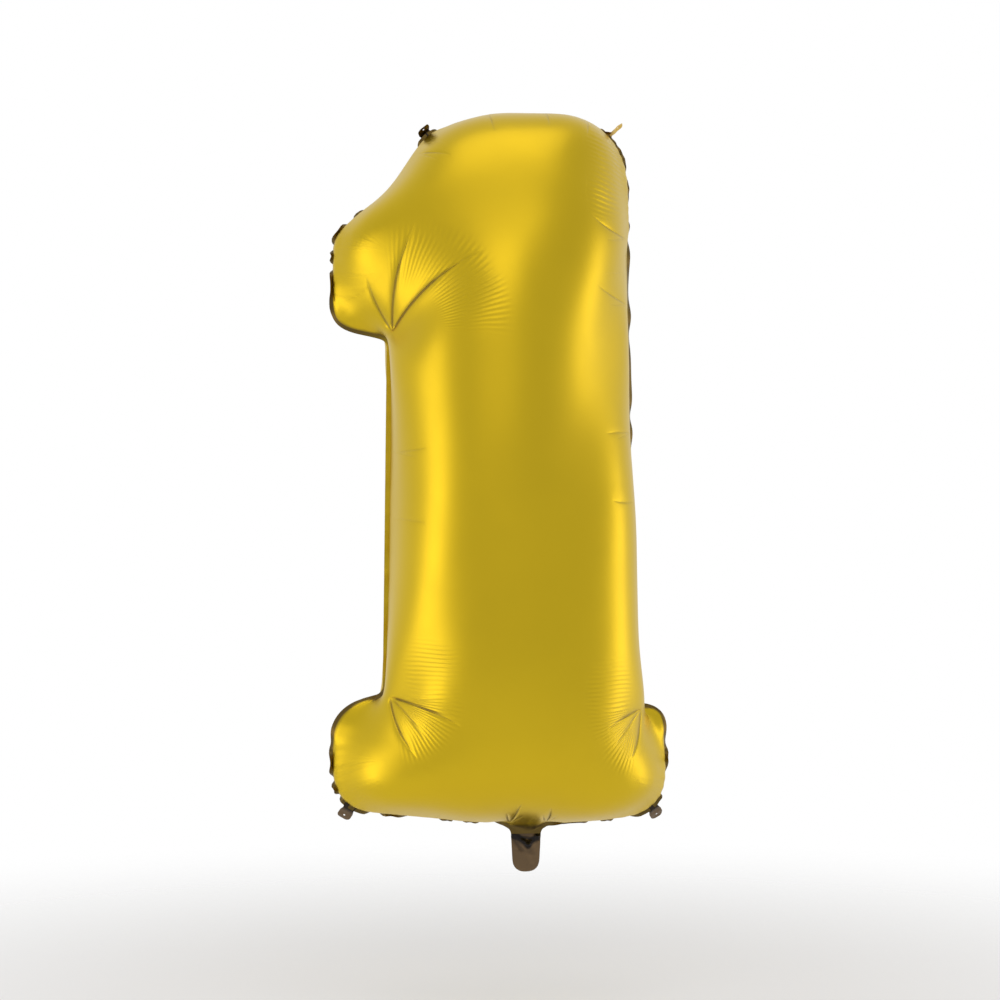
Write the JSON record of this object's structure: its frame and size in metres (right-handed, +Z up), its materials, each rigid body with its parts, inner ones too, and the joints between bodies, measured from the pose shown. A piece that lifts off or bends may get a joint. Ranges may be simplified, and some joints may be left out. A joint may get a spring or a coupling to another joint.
{
  "type": "foil number balloon",
  "caption": "Inflated foil balloon in the shape of the numeral 1, with a heat-sealed seam, a fold-over inflation tail, a self-sealing valve inside and hinged hang tabs.",
  "frame": {"origin": "middle of the neck, where the inflation tail leaves the bottom of the body's seam", "axes": "+Z up the numeral from the neck to the top; -Y out of the front panel, with the seam in the plane Y = 0; +X to the right as the numeral is read"},
  "size_m": [0.4196, 0.2838, 0.93],
  "materials": {
    "foil_front": "satin gold metallised film, fine creases fanning from the crooks of the numeral",
    "foil_back": "satin gold metallised film",
    "foil_tail": "satin gold metallised film, flat, with a crumpled fold line",
    "foil_tab": "satin gold metallised film, two layers sealed together",
    "valve_film": "clear soft film"
  },
  "bodies": {
    "balloon": {"front_panel": "foil_front", "back_panel": "foil_back", "valve_front_film": "valve_film", "valve_back_film": "valve_film"},
    "tail": {"tail_front_film": "foil_tail", "tail_back_film": "foil_tail", "tail_valve_front_film": "valve_film", "tail_valve_back_film": "valve_film"},
    "tab_top_left": {"tab_top_left": "foil_tab"},
    "tab_top_right": {"tab_top_right": "foil_tab"},
    "tab_foot_left": {"tab_foot_left": "foil_tab"},
    "tab_foot_right": {"tab_foot_right": "foil_tab"}
  },
  "joints": [
    {"name": "tail_fold", "type": "hinge", "parent": "balloon", "child": "tail", "pos_m": [0, 0, -0.018], "axis": [1, 0, 0], "range_deg": [-110, 110]},
    {"name": "tab_top_left_fold", "type": "hinge", "parent": "balloon", "child": "tab_top_left", "pos_m": [-0.1245, 0, 0.8415], "axis": [-0.7193, 0, -0.6947], "range_deg": [-10, 150]},
    {"name": "tab_top_right_fold", "type": "hinge", "parent": "balloon", "child": "tab_top_right", "pos_m": [0.1055, 0, 0.8445], "axis": [-0.1844, -0.9613, 0.2048], "range_deg": [-80, 80]},
    {"name": "tab_foot_left_fold", "type": "hinge", "parent": "balloon", "child": "tab_foot_left", "pos_m": [-0.218, 0, 0.0195], "axis": [0.8829, 0, -0.4695], "range_deg": [-126, 34]},
    {"name": "tab_foot_right_fold", "type": "hinge", "parent": "balloon", "child": "tab_foot_right", "pos_m": [0.1595, 0, 0.014], "axis": [0.809, 0, 0.5878], "range_deg": [-126, 34]}
  ]
}
